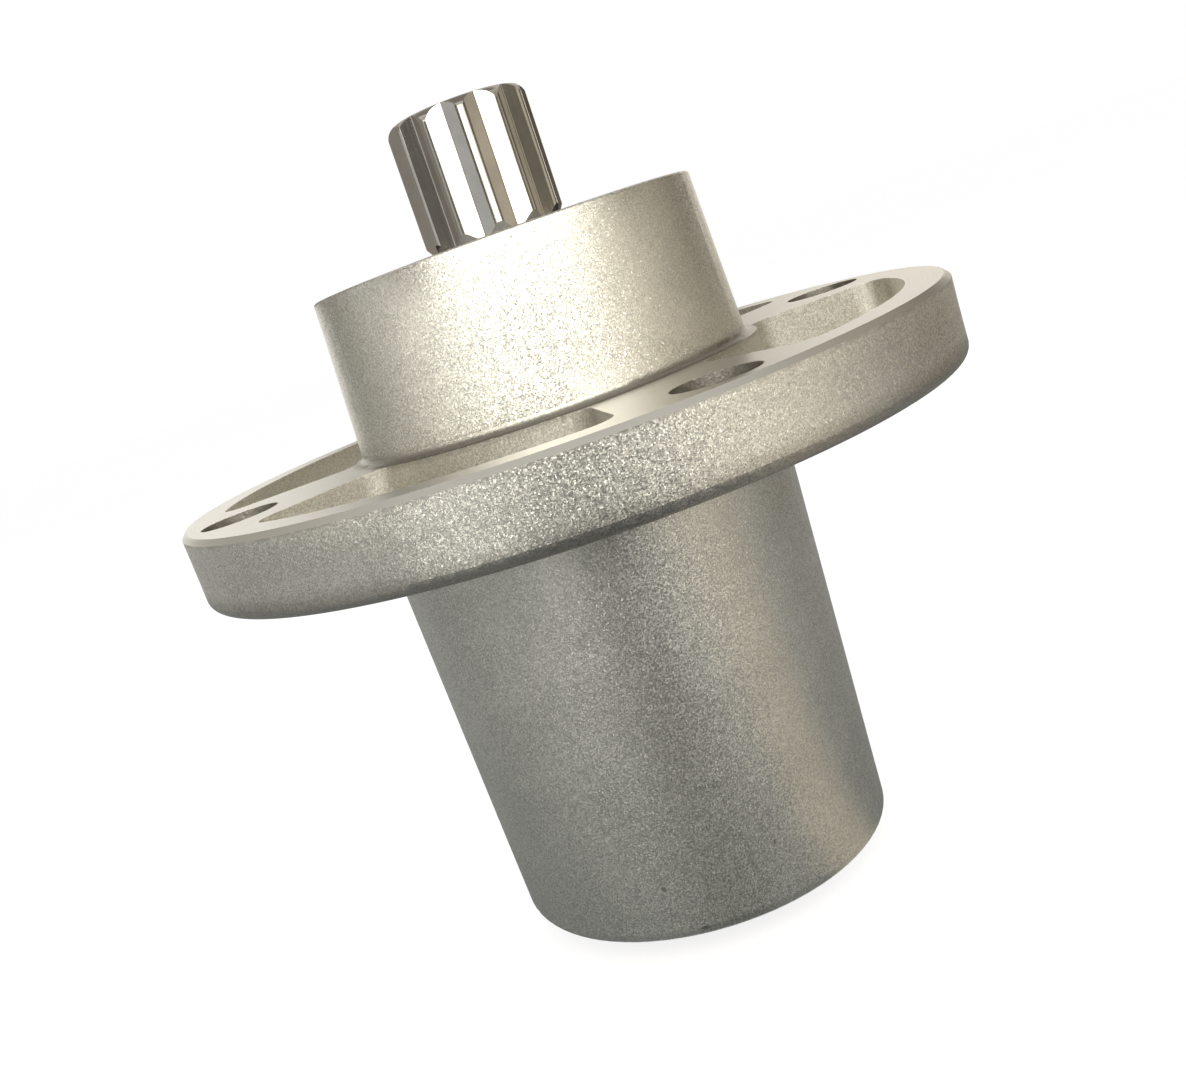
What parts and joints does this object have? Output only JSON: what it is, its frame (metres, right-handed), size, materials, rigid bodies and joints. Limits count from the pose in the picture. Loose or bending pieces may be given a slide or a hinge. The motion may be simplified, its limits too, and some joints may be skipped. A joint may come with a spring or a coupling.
{
  "type": "mower deck spindle",
  "caption": "Cast aluminium flanged housing with a splined steel shaft running in sealed ball bearings; bolts to a mower deck and carries the blade below it.",
  "frame": {"origin": "centre of the flange's machined upper face, on the shaft's axis", "axes": "+Z along the shaft towards its splined end; the bolt holes lie on the diagonals between X and Y"},
  "size_m": [0.14, 0.14, 0.1499],
  "materials": {
    "cast_aluminium": "blasted casting",
    "shaft_steel": "polished",
    "bearing_steel": "ground",
    "ball_steel": "polished",
    "cage_steel": "pressed",
    "seal_rubber": "matt"
  },
  "bodies": {
    "housing": {"housing": "cast_aluminium", "upper_bearing_outer_ring": "bearing_steel", "upper_bearing_top_seal": "seal_rubber", "upper_bearing_bottom_seal": "seal_rubber", "lower_bearing_outer_ring": "bearing_steel", "lower_bearing_top_seal": "seal_rubber", "lower_bearing_bottom_seal": "seal_rubber"},
    "rotor": {"spindle_shaft": "shaft_steel", "bearing_spacer": "bearing_steel", "upper_bearing_inner_ring": "bearing_steel", "lower_bearing_inner_ring": "bearing_steel"},
    "upper_ball_set": {"upper_bearing_cage_top": "cage_steel", "upper_bearing_cage_bottom": "cage_steel", "upper_bearing_cage_rivets": "cage_steel", "upper_bearing_ball_1": "ball_steel", "upper_bearing_ball_2": "ball_steel", "upper_bearing_ball_3": "ball_steel", "upper_bearing_ball_4": "ball_steel", "upper_bearing_ball_5": "ball_steel", "upper_bearing_ball_6": "ball_steel", "upper_bearing_ball_7": "ball_steel", "upper_bearing_ball_8": "ball_steel", "upper_bearing_ball_9": "ball_steel"},
    "lower_ball_set": {"lower_bearing_cage_top": "cage_steel", "lower_bearing_cage_bottom": "cage_steel", "lower_bearing_cage_rivets": "cage_steel", "lower_bearing_ball_1": "ball_steel", "lower_bearing_ball_2": "ball_steel", "lower_bearing_ball_3": "ball_steel", "lower_bearing_ball_4": "ball_steel", "lower_bearing_ball_5": "ball_steel", "lower_bearing_ball_6": "ball_steel", "lower_bearing_ball_7": "ball_steel", "lower_bearing_ball_8": "ball_steel", "lower_bearing_ball_9": "ball_steel"}
  },
  "joints": [
    {"name": "spindle_spin", "type": "hinge", "parent": "housing", "child": "rotor", "pos_m": [0, 0, 0], "axis": [0, 0, 1], "continuous": true},
    {"name": "upper_cage_orbit", "type": "hinge", "parent": "housing", "child": "upper_ball_set", "pos_m": [0, 0, 0], "axis": [0, 0, 1], "continuous": true},
    {"name": "lower_cage_orbit", "type": "hinge", "parent": "housing", "child": "lower_ball_set", "pos_m": [0, 0, 0], "axis": [0, 0, 1], "continuous": true}
  ],
  "couplings": [
    {"joint": "upper_cage_orbit", "follows": "spindle_spin", "ratio": 0.39744},
    {"joint": "lower_cage_orbit", "follows": "spindle_spin", "ratio": 0.39744}
  ]
}
